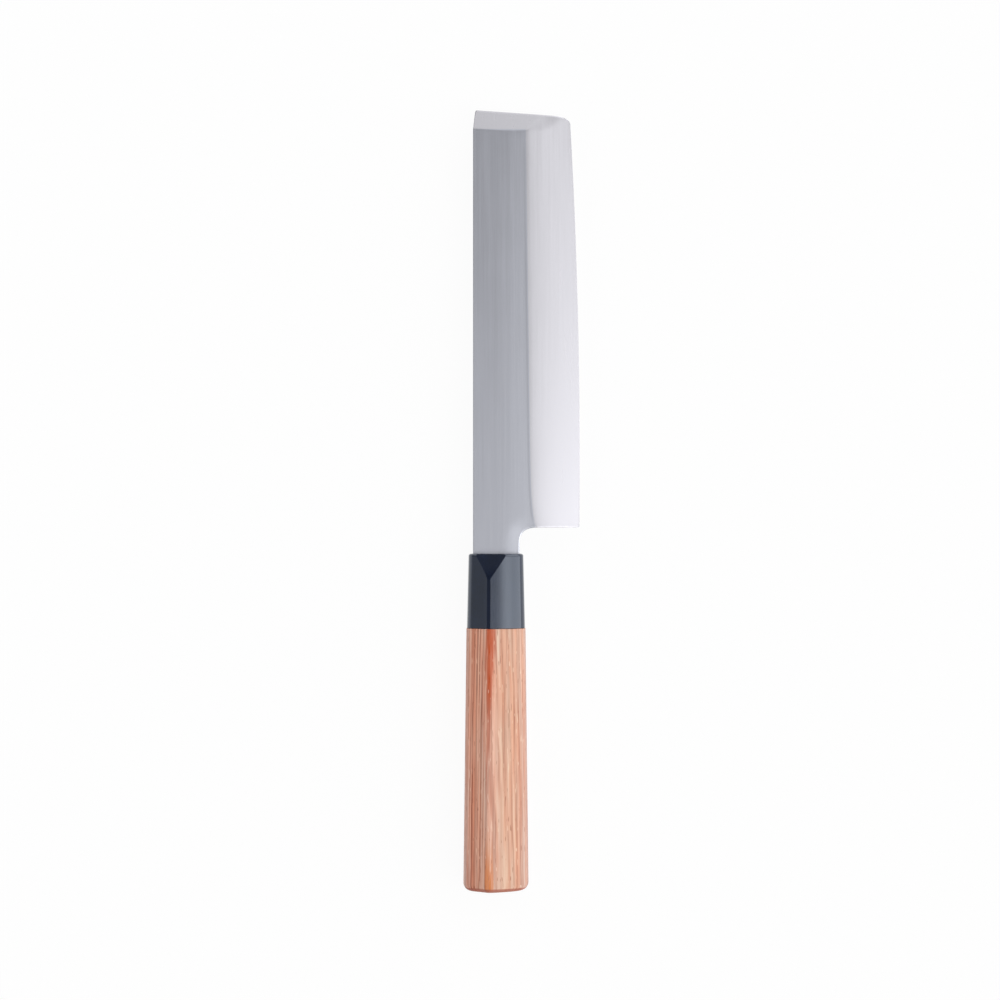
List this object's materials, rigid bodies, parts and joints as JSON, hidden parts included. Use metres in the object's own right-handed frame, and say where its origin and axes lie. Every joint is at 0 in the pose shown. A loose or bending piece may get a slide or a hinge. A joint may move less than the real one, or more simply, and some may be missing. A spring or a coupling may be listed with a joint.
{
  "type": "usuba knife",
  "caption": "Vegetable knife with a square-tipped single-bevel steel blade, hollow-ground back, glossy black ferrule and a ridged handle of laminated wood.",
  "frame": {"origin": "middle of the knife's footprint, on the surface that its handle lies on", "axes": "+Y along the handle from the butt to the tip, +X from the spine to the cutting edge, +Z out of the bevelled face"},
  "size_m": [0.0478, 0.3196, 0.021],
  "materials": {
    "blade_steel": "stainless steel, fine lengthwise brushing on the flat, smooth satin on the bevels",
    "ferrule_black": "glossy black moulded plastic",
    "tang_adhesive": "cured adhesive, hidden inside the handle",
    "wood_rose": "resin-treated veneer, satin, fine lengthwise grain",
    "wood_tan": "resin-treated veneer, satin, fine lengthwise grain",
    "wood_pale": "resin-treated veneer, satin, fine lengthwise grain",
    "wood_red": "resin-treated veneer, satin, fine lengthwise grain"
  },
  "bodies": {
    "root": {"blade": "blade_steel", "ferrule": "ferrule_black", "tang_bed": "tang_adhesive", "veneer_01": "wood_rose", "veneer_02": "wood_tan", "veneer_03": "wood_pale", "veneer_04": "wood_red", "veneer_05": "wood_rose", "veneer_06": "wood_tan", "veneer_07": "wood_pale", "veneer_08": "wood_red", "veneer_09": "wood_rose", "veneer_10": "wood_tan", "veneer_11": "wood_pale", "veneer_12": "wood_red", "veneer_13": "wood_rose", "veneer_14": "wood_tan", "veneer_15": "wood_pale"}
  },
  "joints": []
}
